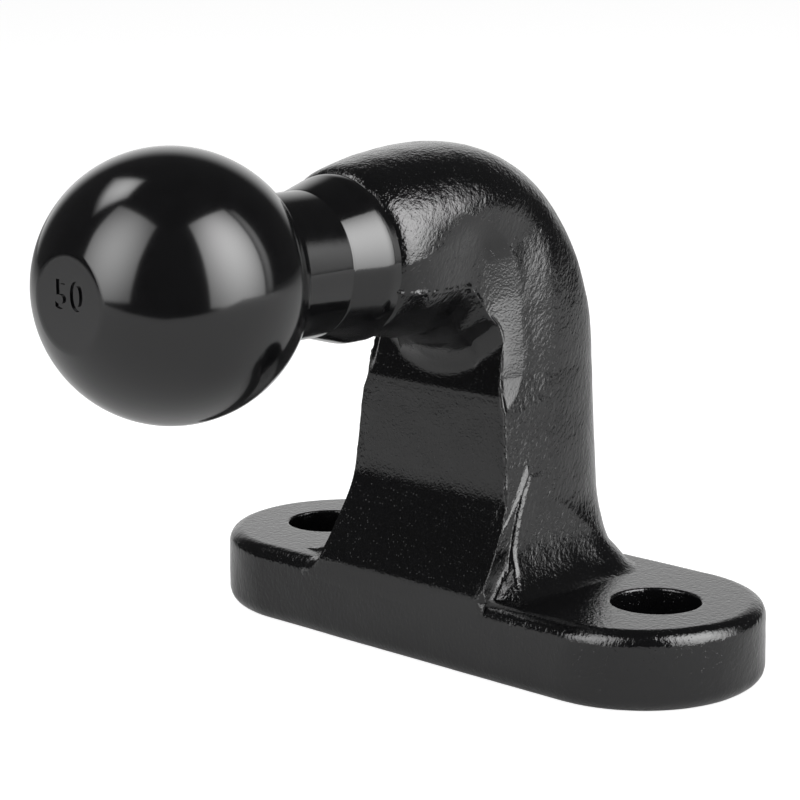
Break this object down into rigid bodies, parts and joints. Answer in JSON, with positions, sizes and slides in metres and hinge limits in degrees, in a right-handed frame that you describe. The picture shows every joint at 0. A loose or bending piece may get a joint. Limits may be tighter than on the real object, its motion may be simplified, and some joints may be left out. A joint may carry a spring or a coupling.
{
  "type": "tow ball",
  "caption": "Flange-mounted towing ball: a forged arm rises from an oval bolted flange, bends over and carries a coupling ball on a turned neck, painted gloss black.",
  "frame": {"origin": "centre of the flange's mounting face, halfway between the two bolt holes", "axes": "+X along the line through the bolt holes, -Y the way the ball points, +Z out of the flange from the mounting face, which lies on z = 0"},
  "size_m": [0.131, 0.1314, 0.1082],
  "materials": {
    "black_paint": "gloss black paint over a forged and partly turned steel surface"
  },
  "bodies": {
    "root": {"tow_ball": "black_paint"}
  },
  "joints": []
}
